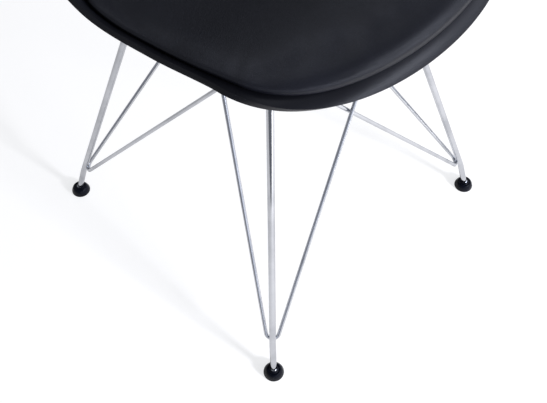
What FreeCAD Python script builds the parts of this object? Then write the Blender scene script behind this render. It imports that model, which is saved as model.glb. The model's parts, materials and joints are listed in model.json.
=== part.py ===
import FreeCAD, Part
import math
import os
from FreeCAD import Vector

# Side chair: a moulded shell with a leatherette seat pad on a base of bent and welded round rods.
# Millimetres, +Z up. The sitter faces -Y, so the sitter's right hand is at -X.
# The origin is on the floor, below the middle of the chair's bounding box.

# Driving dimensions of the base
FOOT_X = 200.0
FOOT_Y = 197.7
LEG_DIAMETER = 8.0
BRACE_DIAMETER = 5.0
KNEE_HEIGHT = 50.5
KNEE_X = 190.8
KNEE_Y = 186.75
KNEE_RADIUS = 90.0
BAR_HEIGHT = 390.0
BAR_CORNER_RADIUS = 22.0
FRONT_LEAN = (0.292, 0.300)
REAR_LEAN = (0.275, 0.278)

# Driving dimensions of the V braces, for the leg at +X: the point of the V before it is rounded,
# then the ends of the arm in the legs' plane and of the arm that runs along the chair
VEE_RADIUS = 8.1
FRONT_VEE = (199.7, 191.9, 33.2)
REAR_VEE = (197.6, 190.0, 40.0)
FRONT_OUTER_ARM_END = (-87.3, 90.2, 383.9)
FRONT_INNER_ARM_END = (-87.6, 83.0, 383.9)
REAR_OUTER_ARM_END = (-91.6, 97.5, 383.9)
REAR_INNER_ARM_END = (-91.6, 90.4, 383.9)
FRONT_SIDE_ARM_END = (39.5, -68.1, 391.4)
REAR_SIDE_ARM_END = (47.4, -76.0, 391.4)

# Driving dimensions of the mounting straps and what stands on them
STRAP_X = 43.0
STRAP_WIDTH = 25.0
STRAP_THICKNESS = 3.0
STRAP_FRONT = -111.0
STRAP_BACK = 117.0
SCREW_FRONT = -98.0
SCREW_BACK = 104.0
SPACER_HEIGHT = 22.0
SPACER_DIAMETER = 24.0
BOSS_DIAMETER = 22.0
INSERT_DIAMETER = 8.0
INSERT_HEIGHT = 12.0
SCREW_DIAMETER = 5.9
SCREW_CLEARANCE_DIAMETER = 6.5
SCREW_LENGTH = 35.0
SCREW_HEAD_DIAMETER = 10.5
SCREW_HEAD_HEIGHT = 3.3
SCREW_SOCKET_WIDTH = 4.0
WASHER_DIAMETER = 12.0
WASHER_THICKNESS = 1.6

# Driving dimensions of the glides
GLIDE_DIAMETER = 26.0
GLIDE_EDGE_HEIGHT = 2.6
GLIDE_HEIGHT = 10.4
GLIDE_TOP_DIAMETER = 17.6
BALL_DIAMETER = 12.0
BALL_HEIGHT = 7.0
BALL_GAP = 0.3
FUNNEL_DIAMETER = 13.6
FUNNEL_DEPTH = 1.0

# Driving dimensions of the shell: its centre line runs from the front edge over the seat
# and up the back, as pairs of a run's length and the degrees that it turns upwards
WALL = 5.0
FRONT_EDGE_Y = -210.9
FRONT_EDGE_Z = 456.5
FRONT_ANGLE = -5.0
CENTRE_LINE = [
    (30.0, 0.0),
    (120.0, -2.0),
    (115.0, 8.0),
    (75.0, 20.0),
    (95.0, 38.0),
    (70.0, 15.0),
    (105.0, 2.0),
    (95.0, -8.0),
    (60.0, -8.0),
]
SHELL_LENGTH = sum(run for run, turn in CENTRE_LINE)
# Half widths, rises of the side edges and how late a cross-section turns up, along the centre line
HALF_WIDTH = [
    (0.0, 173.7),
    (80.0, 179.2),
    (160.0, 193.5),
    (240.0, 204.0),
    (320.0, 199.0),
    (400.0, 194.0),
    (490.0, 198.0),
    (580.0, 202.0),
    (680.0, 205.0),
    (SHELL_LENGTH, 202.0),
]
EDGE_RISE = [
    (0.0, 6.5),
    (80.0, 15.0),
    (160.0, 22.0),
    (240.0, 32.0),
    (320.0, 48.0),
    (400.0, 56.0),
    (490.0, 48.0),
    (600.0, 36.0),
    (SHELL_LENGTH, 18.0),
]
RISE_POWER = [(0.0, 5.0), (260.0, 5.0), (400.0, 3.4), (500.0, 2.7), (SHELL_LENGTH, 2.4)]
# How far the front and top edges bow back at their ends, and how far in that fades
FRONT_BOW = 91.0
FRONT_BOW_REACH = 220.0
TOP_BOW = 120.0
TOP_BOW_REACH = 300.0
# The front lip turns down within a short reach of the edge, less towards the sides
LIP_DROP = 16.5
LIP_REACH = 32.0
LIP_POWER = 2.8
LIP_FADE = 2.5
# The stretch of the centre line that lies under a sitter
SEAT_LENGTH = 420.0

# Driving dimensions of the seat pad: its outline seen from above and its build
PAD_HALF_WIDTH = [(-118.0, 171.2), (-87.0, 179.2), (-42.0, 187.6), (0.0, 194.8), (20.0, 196.0)]
PAD_FRONT_CENTRE = -110.7
PAD_FRONT_DEPTH = 90.0
PAD_REAR_CENTRE = 20.0
PAD_REAR_DEPTH = 116.0
# The pad is widest at its waist, and from there its crown rises to the full height
PAD_WAIST = 3.0
PAD_HEIGHT = 19.0
PAD_CROWN_REACH = 85.0
PAD_TUCK_SHARE = 0.985
# Shares of the half width where a section's arcs start, bend and end
PAD_UNDER_SHARES = (0.94, 0.88, 0.76, 0.6)
PAD_OVER_SHARES = (1.0, 0.993, 0.98, 0.955, 0.92, 0.85, 0.75, 0.6, 0.4)
COVER_THICKNESS = 1.2
PAD_CLEARANCE = 0.8
BOARD_LIFT = 2.5
BOARD_THICKNESS = 4.0
BOARD_INSET = 9.0
HEM_WIDTH = 24.0
PAD_SCREW_X = 95.0
PAD_SCREW_FRONT = -72.0
PAD_SCREW_BACK = 56.0
PAD_SCREW_DIAMETER = 4.9
PAD_SCREW_HOLE = 5.5
PAD_SCREW_LENGTH = 12.0
PAD_SCREW_HEAD_DIAMETER = 9.5
PAD_SCREW_HEAD_HEIGHT = 3.0
PAD_SCREW_SOCKET_WIDTH = 3.0
SCREW_SEAT_GAP = 0.2
TEE_NUT_DIAMETER = 6.6
TEE_NUT_FLANGE_DIAMETER = 17.0
TEE_NUT_FLANGE_THICKNESS = 1.2
# How far a flange is let into the board
FLANGE_SINK = 0.5
# How deep the cutters reach that open the cover's hem, the foam over a nut and the bores
HEM_DEPTH = 4.0
FLANGE_HOLLOW = 5.7
BORE_REACH = 24.0

# Moves the model from the middle of its four feet to the middle of its bounding box
CENTRE_SHIFT = -50.9


def blend(knots, place):
    """Smooth value between knots, with no overshoot."""
    places = [knot[0] for knot in knots]
    values = [knot[1] for knot in knots]
    if place <= places[0]:
        return values[0]
    if place >= places[-1]:
        return values[-1]
    rises = [(values[i + 1] - values[i]) / (places[i + 1] - places[i]) for i in range(len(knots) - 1)]
    slopes = [rises[0]]
    for before, after in zip(rises, rises[1:]):
        slopes.append(0.0 if before * after <= 0 else 2 * before * after / (before + after))
    slopes.append(rises[-1])
    index = max(i for i in range(len(rises)) if places[i] <= place)
    span = places[index + 1] - places[index]
    t = (place - places[index]) / span
    return (
        (2 * t**3 - 3 * t**2 + 1) * values[index]
        + (t**3 - 2 * t**2 + t) * span * slopes[index]
        + (3 * t**2 - 2 * t**3) * values[index + 1]
        + (t**3 - t**2) * span * slopes[index + 1]
    )


def centre_line(distance):
    """Y, Z and heading in radians of the shell's centre line at a distance from the front edge."""
    y, z, heading = FRONT_EDGE_Y, FRONT_EDGE_Z, math.radians(FRONT_ANGLE)
    left = distance
    for run, turn in CENTRE_LINE:
        step = min(left, run)
        curvature = math.radians(turn) / run
        if turn == 0.0:
            y += step * math.cos(heading)
            z += step * math.sin(heading)
        else:
            y += (math.sin(heading + curvature * step) - math.sin(heading)) / curvature
            z -= (math.cos(heading + curvature * step) - math.cos(heading)) / curvature
        heading += curvature * step
        left -= step
    return y, z, heading


def shell_face(share, travel):
    """Point on the shell's inner face: share of the half width, travel along the centre line."""
    y, z, heading = centre_line(travel)
    rise = blend(EDGE_RISE, travel) * abs(share) ** blend(RISE_POWER, travel)
    gap = travel - FRONT_BOW * (1 - math.sqrt(max(0.0, 1 - share**2)))
    nearness = max(0.0, min(1.0, 1 - gap / LIP_REACH))
    drop = LIP_DROP * nearness**LIP_POWER * (1 - min(1.0, abs(share)) ** LIP_FADE)
    return Vector(
        blend(HALF_WIDTH, travel) * share,
        y - rise * math.sin(heading),
        z + rise * math.cos(heading) - drop,
    )


def shell_point(side, distance):
    """Point on the inner face by a side from -1 to 1 and a distance whose ends are the curved edges."""
    front = max(0.0, 1 - distance / FRONT_BOW_REACH) ** 2
    top = max(0.0, 1 - (SHELL_LENGTH - distance) / TOP_BOW_REACH) ** 2
    share = (1 - front - top) * side + (front + top) * math.sin(math.pi / 2 * side)
    bow = 1 - math.cos(math.pi / 2 * side)
    return shell_face(share, distance + FRONT_BOW * bow * front - TOP_BOW * bow * top)


def shell_normal(side, distance):
    """Unit vector that leaves the shell's inner face, towards the sitter."""
    side = max(-0.92, min(0.92, side))
    distance = max(1.0, min(SHELL_LENGTH - 1.0, distance))
    across = shell_point(side + 0.01, distance) - shell_point(side - 0.01, distance)
    along = shell_point(side, distance + 0.5) - shell_point(side, distance - 0.5)
    return across.cross(along).normalize()


def seat_height(x, y):
    """Height of the shell's inner face over a place on the seat."""
    low, high = 0.0, SEAT_LENGTH
    for _ in range(30):
        travel = (low + high) / 2
        share = min(1.0, abs(x) / blend(HALF_WIDTH, travel))
        if shell_face(share, travel).y < y:
            low = travel
        else:
            high = travel
    return shell_face(share, travel).z


def shell_skin(depth):
    """Smooth surface through points of the shell at a depth below its inner face."""
    distances = [0.0, 4.0, 9.0, 15.0, 23.0, 34.0, 50.0]
    while distances[-1] < SHELL_LENGTH - 60:
        distances.append(distances[-1] + 25.0)
    distances += [SHELL_LENGTH - 30.0, SHELL_LENGTH - 12.0, SHELL_LENGTH]
    sides = [-1 + step / 14 for step in range(29)]
    grid = [
        [shell_point(side, distance) - shell_normal(side, distance) * depth for side in sides]
        for distance in distances
    ]
    surface = Part.BSplineSurface()
    surface.interpolate(grid)
    return surface


def surface_edges(surface):
    """The four border curves of a surface as edges, in a fixed order."""
    u0, u1, v0, v1 = surface.bounds()
    curves = [surface.uIso(u0), surface.uIso(u1), surface.vIso(v0), surface.vIso(v1)]
    return [curve.toShape() for curve in curves]


def solid_of(faces):
    """Closed solid sewn from faces that meet at their edges."""
    shell = Part.makeShell(faces)
    shell.sewShape()
    solid = Part.makeSolid(shell)
    if solid.Volume < 0:
        solid.reverse()
    return solid


def rounded_path(points, radii):
    """Wire of straight runs joined by tangent arcs, one radius for each inner point."""
    corners = [Vector(*point) for point in points]
    edges = []
    start = corners[0]
    for index, radius in enumerate(radii, start=1):
        corner = corners[index]
        back = (corners[index - 1] - corner).normalize()
        ahead = (corners[index + 1] - corner).normalize()
        half = back.getAngle(ahead) / 2
        reach = radius / math.tan(half)
        middle = corner + (back + ahead).normalize() * (radius / math.sin(half) - radius)
        first, last = corner + back * reach, corner + ahead * reach
        edges.append(Part.LineSegment(start, first).toShape())
        edges.append(Part.Arc(first, middle, last).toShape())
        start = last
    edges.append(Part.LineSegment(start, corners[-1]).toShape())
    return Part.Wire(edges)


def rod(points, radii, diameter):
    """Round rod bent along a path."""
    path = rounded_path(points, radii)
    start = Vector(*points[0])
    heading = Vector(*points[1]) - start
    section = Part.Wire([Part.makeCircle(diameter / 2, start, heading)])
    return path.makePipeShell([section], True, False)


def cylinder(diameter, height, base, axis=Vector(0, 0, 1)):
    """Cylinder that grows from its base along an axis."""
    return Part.makeCylinder(diameter / 2, height, base, axis)


def tube(outer, inner, height, base, axis=Vector(0, 0, 1)):
    """Round tube with an outer and an inner diameter."""
    return cylinder(outer, height, base, axis).cut(cylinder(inner, height, base, axis))


def leg_frame(front):
    """Inverted U of round rod: two legs with a small knee above the foot, joined by a bar."""
    lean_x, lean_y = FRONT_LEAN if front else REAR_LEAN
    along = -1 if front else 1
    climb = BAR_HEIGHT - KNEE_HEIGHT
    top_x, top_y = KNEE_X - lean_x * climb, KNEE_Y - lean_y * climb
    half = [
        (FOOT_X, along * FOOT_Y, BALL_HEIGHT),
        (KNEE_X, along * KNEE_Y, KNEE_HEIGHT),
        (top_x, along * top_y, BAR_HEIGHT),
    ]
    points = half + [(-x, y, z) for x, y, z in reversed(half)]
    frame = rod(points, [KNEE_RADIUS, BAR_CORNER_RADIUS, BAR_CORNER_RADIUS, KNEE_RADIUS], LEG_DIAMETER)
    for x in (-FOOT_X, FOOT_X):
        frame = frame.fuse(Part.makeSphere(BALL_DIAMETER / 2, Vector(x, along * FOOT_Y, BALL_HEIGHT)))
    return frame.removeSplitter()


def brace(front, right):
    """V of thin rod on the inner side of one leg: an arm across the chair and an arm along it."""
    vee = FRONT_VEE if front else REAR_VEE
    outer, inner = (
        (FRONT_OUTER_ARM_END, FRONT_INNER_ARM_END) if front else (REAR_OUTER_ARM_END, REAR_INNER_ARM_END)
    )
    cross_end = outer if right else inner
    side_end = FRONT_SIDE_ARM_END if front else REAR_SIDE_ARM_END
    turn_x = -1 if right else 1
    turn_y = -1 if front else 1
    points = [(turn_x * x, turn_y * y, z) for x, y, z in (cross_end, vee, side_end)]
    return rod(points, [VEE_RADIUS], BRACE_DIAMETER)


def screw_places():
    """The four places where the base is screwed to the shell."""
    return [(x, y) for y in (SCREW_FRONT, SCREW_BACK) for x in (-STRAP_X, STRAP_X)]


def mount_strap(right):
    """Flat steel strap welded along the chair on top of both bars, with a hole near each end."""
    x = -STRAP_X if right else STRAP_X
    bottom = BAR_HEIGHT + LEG_DIAMETER / 2
    half = STRAP_WIDTH / 2
    bar = Part.makeBox(
        STRAP_WIDTH, STRAP_BACK - STRAP_FRONT, STRAP_THICKNESS, Vector(x - half, STRAP_FRONT, bottom)
    )
    corners = [edge for edge in bar.Edges if abs(edge.tangentAt(edge.FirstParameter).z) > 0.9]
    bar = bar.makeFillet(half * 0.6, corners)
    for y in (SCREW_FRONT, SCREW_BACK):
        bar = bar.cut(cylinder(SCREW_CLEARANCE_DIAMETER, STRAP_THICKNESS, Vector(x, y, bottom)))
    return bar


def strap_top():
    """Height of the straps' upper face."""
    return BAR_HEIGHT + LEG_DIAMETER / 2 + STRAP_THICKNESS


def spacer(x, y):
    """Rubber buffer between strap and shell, with a shallow groove round its waist."""
    base = Vector(x, y, strap_top())
    body = tube(SPACER_DIAMETER, SCREW_CLEARANCE_DIAMETER, SPACER_HEIGHT, base)
    groove = Part.makeTorus(SPACER_DIAMETER / 2 + 1.5, 3.0, base + Vector(0, 0, SPACER_HEIGHT / 2))
    return body.cut(groove)


def socket_screw(diameter, length, head_diameter, head_height, socket_width, seat, axis):
    """Button head screw whose head sits under its seat, with a six-sided socket."""
    down = axis * -1
    head = cylinder(head_diameter, head_height, seat, down)
    rims = [edge for edge in head.Edges if (edge.CenterOfMass - seat).dot(down) > head_height * 0.9]
    head = head.makeFillet(head_height * 0.6, rims)
    shank = cylinder(diameter, length, seat, axis)
    turn = FreeCAD.Rotation(Vector(0, 0, 1), axis)
    face = seat + down * head_height
    radius = socket_width / math.sqrt(3)
    angles = [math.radians(60 * step) for step in range(7)]
    corners = [face + turn.multVec(Vector(math.cos(a), math.sin(a), 0) * radius) for a in angles]
    socket = Part.Face(Part.makePolygon(corners)).extrude(axis * (head_height * 0.6))
    return head.fuse(shank).cut(socket).removeSplitter()


def mount_screws():
    """Four screws that hold the base to the shell from below."""
    seat_z = BAR_HEIGHT + LEG_DIAMETER / 2 - WASHER_THICKNESS
    return Part.makeCompound([
        socket_screw(
            SCREW_DIAMETER, SCREW_LENGTH, SCREW_HEAD_DIAMETER, SCREW_HEAD_HEIGHT, SCREW_SOCKET_WIDTH,
            Vector(x, y, seat_z), Vector(0, 0, 1),
        )
        for x, y in screw_places()
    ])


def mount_washers():
    """Four washers under the heads of the mounting screws."""
    bottom = BAR_HEIGHT + LEG_DIAMETER / 2 - WASHER_THICKNESS
    return Part.makeCompound([
        tube(WASHER_DIAMETER, SCREW_CLEARANCE_DIAMETER, WASHER_THICKNESS, Vector(x, y, bottom))
        for x, y in screw_places()
    ])


def threaded_inserts():
    """Four brass inserts in the bosses below the shell."""
    bottom = strap_top() + SPACER_HEIGHT
    return Part.makeCompound([
        tube(INSERT_DIAMETER, SCREW_DIAMETER + 0.1, INSERT_HEIGHT, Vector(x, y, bottom))
        for x, y in screw_places()
    ])


def pad_screw_axes():
    """Place on the seat and direction of each of the four screws that hold the pad."""
    axes = []
    for y in (PAD_SCREW_FRONT, PAD_SCREW_BACK):
        for x in (-PAD_SCREW_X, PAD_SCREW_X):
            middle = Vector(x, y, seat_height(x, y))
            across = Vector(x + 2, y, seat_height(x + 2, y)) - middle
            along = Vector(x, y + 2, seat_height(x, y + 2)) - middle
            axes.append((middle, across.cross(along).normalize()))
    return axes


def seat_shell():
    """One-piece moulded shell: seat, back, four bosses and the holes for the pad's screws."""
    inner, outer = shell_skin(0.0), shell_skin(WALL)
    walls = [Part.makeRuledSurface(a, b) for a, b in zip(surface_edges(inner), surface_edges(outer))]
    shell = solid_of([inner.toShape(), outer.toShape()] + walls)
    bottom = strap_top() + SPACER_HEIGHT
    for x, y in screw_places():
        height = seat_height(x, y) - WALL / 2 - bottom
        shell = shell.fuse(cylinder(BOSS_DIAMETER, height, Vector(x, y, bottom)))
    for x, y in screw_places():
        shell = shell.cut(cylinder(INSERT_DIAMETER, INSERT_HEIGHT + 2, Vector(x, y, bottom)))
    for middle, axis in pad_screw_axes():
        shell = shell.cut(cylinder(PAD_SCREW_HOLE, BORE_REACH, middle - axis * BORE_REACH / 2, axis))
    return shell


def pad_half_width(y, inset):
    """Half width of the pad at a place along the chair, less an inset all round."""
    width = blend(PAD_HALF_WIDTH, y) - inset
    depth, past = PAD_FRONT_DEPTH - inset, PAD_FRONT_CENTRE - y
    if y > PAD_REAR_CENTRE:
        depth, past = PAD_REAR_DEPTH - inset, y - PAD_REAR_CENTRE
    if past <= 0:
        return width
    return width * math.sqrt(max(0.0, 1 - (past / depth) ** 2))


def pad_stations(inset):
    """Places along the chair where the pad is drawn, closer together at its rounded ends."""
    front = [
        PAD_FRONT_CENTRE - (PAD_FRONT_DEPTH - inset) * math.cos(math.radians(angle))
        for angle in (9, 18, 28, 40, 55, 72, 90)
    ]
    rear = [
        PAD_REAR_CENTRE + (PAD_REAR_DEPTH - inset) * math.sin(math.radians(angle))
        for angle in (0, 14, 28, 42, 55, 67, 78)
    ]
    return front + [-78.0, -45.0, -12.0] + rear


def pad_crown(x, y):
    """Height of the pad's upper face over the seat: a pillow that thins out towards its edge."""
    low, high = 0.0, PAD_CROWN_REACH
    for _ in range(24):
        depth = (low + high) / 2
        if pad_half_width(y, depth) > abs(x):
            low = depth
        else:
            high = depth
    return PAD_WAIST + (PAD_HEIGHT - PAD_WAIST) * math.sqrt(1 - (1 - depth / PAD_CROWN_REACH) ** 2)


def arcs(points):
    """Arcs through each three points in a row, or lines where they are in line."""
    edges = []
    for first, middle, last in zip(points[::2], points[1::2], points[2::2]):
        if (middle - first).cross(last - middle).Length < 1e-6:
            edges.append(Part.LineSegment(first, last).toShape())
        else:
            edges.append(Part.Arc(first, middle, last).toShape())
    return edges


def pad_section(y, inset, low, high):
    """Closed section across the pad, up to a height over the seat or, with no height, to the crown."""
    width = pad_half_width(y, inset)

    def at(share, lift):
        x = share * width
        return Vector(x, y, seat_height(x, y) + lift)

    def top(share):
        lift = pad_crown(share * width, y) - inset if high is None else high
        return at(share, lift)

    foot = 1.0 if high is not None else PAD_TUCK_SHARE
    under = (foot,) + PAD_UNDER_SHARES
    bottom = [at(-share, low) for share in under] + [at(0, low)] + [at(share, low) for share in under[::-1]]
    over = PAD_OVER_SHARES
    upper = [top(share) for share in over] + [top(0)] + [top(-share) for share in over[::-1]]
    if high is None:
        middle = (low + pad_crown(width, y) - inset) / 2
        right, left = at((foot + 3) / 4, middle), at(-(foot + 3) / 4, middle)
    else:
        right, left = (bottom[-1] + upper[0]) / 2, (bottom[0] + upper[-1]) / 2
    sides = [arcs([bottom[-1], right, upper[0]]), arcs([upper[-1], left, bottom[0]])]
    return Part.Wire(arcs(bottom) + sides[0] + arcs(upper) + sides[1])


def pad_layer(inset, low, high=None):
    """Layer of the pad between two heights above the seat, or up to the crown."""
    sections = [pad_section(y, inset, low, high) for y in pad_stations(inset)]
    return Part.makeLoft(sections, True, False)


def pad_board():
    """Curved board under the foam, with holes where the four tee nuts are pressed in."""
    top = BOARD_LIFT + BOARD_THICKNESS
    board = pad_layer(BOARD_INSET, BOARD_LIFT, top)
    for middle, axis in pad_screw_axes():
        board = board.cut(cylinder(TEE_NUT_DIAMETER, BORE_REACH, middle - axis * BORE_REACH / 2, axis))
        flange_seat = middle + axis * (top - FLANGE_SINK)
        board = board.cut(cylinder(TEE_NUT_FLANGE_DIAMETER, BORE_REACH, flange_seat, axis))
    return board


def tee_nuts():
    """Four flanged nuts pressed into the board from above."""
    length = BOARD_THICKNESS - FLANGE_SINK
    nuts = []
    for middle, axis in pad_screw_axes():
        barrel = cylinder(TEE_NUT_DIAMETER, length, middle + axis * BOARD_LIFT, axis)
        flange_seat = middle + axis * (BOARD_LIFT + length)
        flange = cylinder(TEE_NUT_FLANGE_DIAMETER, TEE_NUT_FLANGE_THICKNESS, flange_seat, axis)
        nut = barrel.fuse(flange).removeSplitter()
        bore = cylinder(PAD_SCREW_DIAMETER + 0.1, BORE_REACH, middle - axis * BORE_REACH / 2, axis)
        nuts.append(nut.cut(bore))
    return Part.makeCompound(nuts)


def pad_screws():
    """Four screws from below the shell into the tee nuts."""
    return Part.makeCompound([
        socket_screw(
            PAD_SCREW_DIAMETER, PAD_SCREW_LENGTH, PAD_SCREW_HEAD_DIAMETER, PAD_SCREW_HEAD_HEIGHT,
            PAD_SCREW_SOCKET_WIDTH, middle - axis * (WALL + SCREW_SEAT_GAP), axis,
        )
        for middle, axis in pad_screw_axes()
    ])


def pad_inside():
    """The space inside the cover."""
    return pad_layer(COVER_THICKNESS, PAD_CLEARANCE + COVER_THICKNESS)


def pad_foam():
    """Foam over and round the board, hollow over the nuts' flanges and the screws' ends."""
    low = BOARD_LIFT
    foam = pad_inside().cut(pad_layer(BOARD_INSET, low - HEM_DEPTH, low + BOARD_THICKNESS))
    for middle, axis in pad_screw_axes():
        hollow_base = middle + axis * (low + BOARD_THICKNESS - TEE_NUT_FLANGE_THICKNESS)
        foam = foam.cut(cylinder(TEE_NUT_FLANGE_DIAMETER, FLANGE_HOLLOW, hollow_base, axis))
    return foam


def pad_cover():
    """Leatherette cover: over the foam, round its edge and turned in under the board."""
    opening = pad_layer(HEM_WIDTH, BOARD_LIFT - HEM_DEPTH, BOARD_LIFT + BOARD_THICKNESS / 2)
    outside = pad_layer(0.0, PAD_CLEARANCE)
    return outside.cut(pad_inside()).cut(opening)


def glide(x, y):
    """Round nylon foot that snaps over the ball at the end of a leg."""
    half, top = GLIDE_DIAMETER / 2, GLIDE_TOP_DIAMETER / 2
    shoulder = Vector(half - 0.6, 0, GLIDE_EDGE_HEIGHT)
    crown = Vector((half + top) / 2 + 0.6, 0, GLIDE_HEIGHT * 0.72)
    rim = Vector(top - 1.0, 0, GLIDE_HEIGHT)
    outline = [
        Part.LineSegment(Vector(0, 0, 0), Vector(half - 1.0, 0, 0)).toShape(),
        Part.LineSegment(Vector(half - 1.0, 0, 0), Vector(half, 0, 0.8)).toShape(),
        Part.LineSegment(Vector(half, 0, 0.8), shoulder).toShape(),
        Part.Arc(shoulder, crown, rim).toShape(),
        Part.LineSegment(rim, Vector(0, 0, GLIDE_HEIGHT)).toShape(),
        Part.LineSegment(Vector(0, 0, GLIDE_HEIGHT), Vector(0, 0, 0)).toShape(),
    ]
    body = Part.Face(Part.Wire(outline)).revolve(Vector(0, 0, 0), Vector(0, 0, 1), 360)
    socket = Part.makeSphere(BALL_DIAMETER / 2 + BALL_GAP, Vector(0, 0, BALL_HEIGHT))
    lip = GLIDE_HEIGHT - FUNNEL_DEPTH
    mouth = math.sqrt((BALL_DIAMETER / 2 + BALL_GAP) ** 2 - (lip - BALL_HEIGHT) ** 2)
    funnel = Part.makeCone(mouth, FUNNEL_DIAMETER / 2, FUNNEL_DEPTH, Vector(0, 0, lip))
    body = body.cut(socket).cut(funnel)
    body.translate(Vector(x, y, 0))
    return body


def build():
    """Every node of the chair by name, in the frame of its feet."""
    nodes = {
        "seat_shell": seat_shell(),
        "threaded_inserts": threaded_inserts(),
        "pad_cover": pad_cover(),
        "pad_foam": pad_foam(),
        "pad_board": pad_board(),
        "pad_tee_nuts": tee_nuts(),
        "pad_screws": pad_screws(),
        "front_leg_frame": leg_frame(True),
        "rear_leg_frame": leg_frame(False),
        "mount_screws": mount_screws(),
        "mount_washers": mount_washers(),
    }
    for end, front in (("front", True), ("rear", False)):
        for hand, right in (("right", True), ("left", False)):
            x = -1 if right else 1
            y = SCREW_FRONT if front else SCREW_BACK
            nodes[f"{end}_{hand}_brace"] = brace(front, right)
            nodes[f"{end}_{hand}_spacer"] = spacer(x * STRAP_X, y)
            nodes[f"{end}_{hand}_glide"] = glide(x * FOOT_X, -FOOT_Y if front else FOOT_Y)
    nodes["right_mount_strap"] = mount_strap(True)
    nodes["left_mount_strap"] = mount_strap(False)
    return nodes


def main():
    """Move every node to the part's origin and write it as a STEP file."""
    os.makedirs("parts", exist_ok=True)
    for name, shape in build().items():
        shape.translate(Vector(0, CENTRE_SHIFT, 0))
        box = shape.optimalBoundingBox(True, False)
        print(
            f"{name}: valid {shape.isValid()}, solids {len(shape.Solids)}, volume {shape.Volume:.0f},"
            f" y {box.YMin:.1f} to {box.YMax:.1f}, z {box.ZMin:.1f} to {box.ZMax:.1f}"
        )
        shape.exportStep(f"parts/{name}.step")


main()
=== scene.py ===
"""Looks of a moulded side chair with a leatherette seat pad on a base of chromed round rods.

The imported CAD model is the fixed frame, and every piece made here is in metres in that frame:
the sitter faces -Y, so the sitter's right hand is at -X. The rods, screws and inner pieces of
the pad keep their CAD shapes and get finishes. The shell, the pad, the mounting straps, the
rubber buffers, the feet and the weld seams are modelled here.
"""

from __future__ import annotations

import json
import logging
import math
from abc import ABC, abstractmethod
from contextlib import contextmanager
from dataclasses import dataclass, field
from enum import Enum
from typing import Callable, Iterable, Iterator

import bmesh
import bpy
import numpy as np
from bpy.types import ColorRamp, Material, Modifier, Node, NodeSocket, NodeTree, Object
from mathutils import Matrix, Vector, noise
from mathutils.bvhtree import BVHTree

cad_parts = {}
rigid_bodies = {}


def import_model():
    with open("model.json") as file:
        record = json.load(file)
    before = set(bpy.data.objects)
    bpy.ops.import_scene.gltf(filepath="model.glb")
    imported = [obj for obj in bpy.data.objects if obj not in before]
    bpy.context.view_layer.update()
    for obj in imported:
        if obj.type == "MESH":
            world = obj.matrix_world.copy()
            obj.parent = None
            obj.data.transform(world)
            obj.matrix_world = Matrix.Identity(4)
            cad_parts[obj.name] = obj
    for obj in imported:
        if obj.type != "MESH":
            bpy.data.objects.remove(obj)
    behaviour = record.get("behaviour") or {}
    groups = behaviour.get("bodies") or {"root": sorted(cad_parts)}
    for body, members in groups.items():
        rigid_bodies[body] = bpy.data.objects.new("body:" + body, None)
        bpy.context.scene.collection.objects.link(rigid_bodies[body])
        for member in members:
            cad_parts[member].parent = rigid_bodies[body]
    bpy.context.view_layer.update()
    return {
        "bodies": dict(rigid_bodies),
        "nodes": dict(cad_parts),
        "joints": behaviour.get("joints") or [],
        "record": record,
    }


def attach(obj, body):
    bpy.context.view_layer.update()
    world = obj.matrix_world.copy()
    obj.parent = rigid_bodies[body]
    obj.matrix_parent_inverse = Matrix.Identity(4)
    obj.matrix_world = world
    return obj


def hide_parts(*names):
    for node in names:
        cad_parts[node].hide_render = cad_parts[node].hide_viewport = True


log = logging.getLogger("side_chair")

MM = 0.001
CHAIR = "chair"
# From the middle of the four feet to the middle of the chair's box, along Y
CENTRE_SHIFT = -50.9 * MM
DOWN = Vector((0, 0, -1))

Colour = tuple[float, float, float]
Point = tuple[float, float, float]
Pair = tuple[float, float]
Pairs = tuple[Pair, ...]


class Slot(str, Enum):
    """The record's material slots."""

    SHELL = "shell_plastic"
    PAD = "leatherette"
    CHROME = "chrome_rod"
    STEEL = "zinc_steel"
    RUBBER = "spacer_rubber"
    NYLON = "glide_nylon"


# ---- Shader nodes ----


class Signal:
    """A number that varies over a surface: one output socket whose arithmetic adds Math nodes."""

    def __init__(self, desk: NodeDesk, socket: NodeSocket) -> None:
        """Keep the socket and the desk that its nodes stand on."""
        self.desk = desk
        self.socket = socket

    def __add__(self, other: Signal | float) -> Signal:
        """Sum."""
        return self.desk.math("ADD", self, other)

    __radd__ = __add__

    def __sub__(self, other: Signal | float) -> Signal:
        """Difference."""
        return self.desk.math("SUBTRACT", self, other)

    def __rsub__(self, other: Signal | float) -> Signal:
        """Difference from a number on the left."""
        return self.desk.math("SUBTRACT", other, self)

    def __mul__(self, other: Signal | float) -> Signal:
        """Product."""
        return self.desk.math("MULTIPLY", self, other)

    __rmul__ = __mul__

    def between(self, low: float, high: float) -> Signal:
        """Rise smoothly from 0 at low to 1 at high, and stay there."""
        settings = {"interpolation_type": "SMOOTHSTEP"}
        sockets = {"Value": self, "From Min": low, "From Max": high}
        return Signal(self.desk, self.desk.node("ShaderNodeMapRange", settings, sockets).outputs[0])


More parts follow.
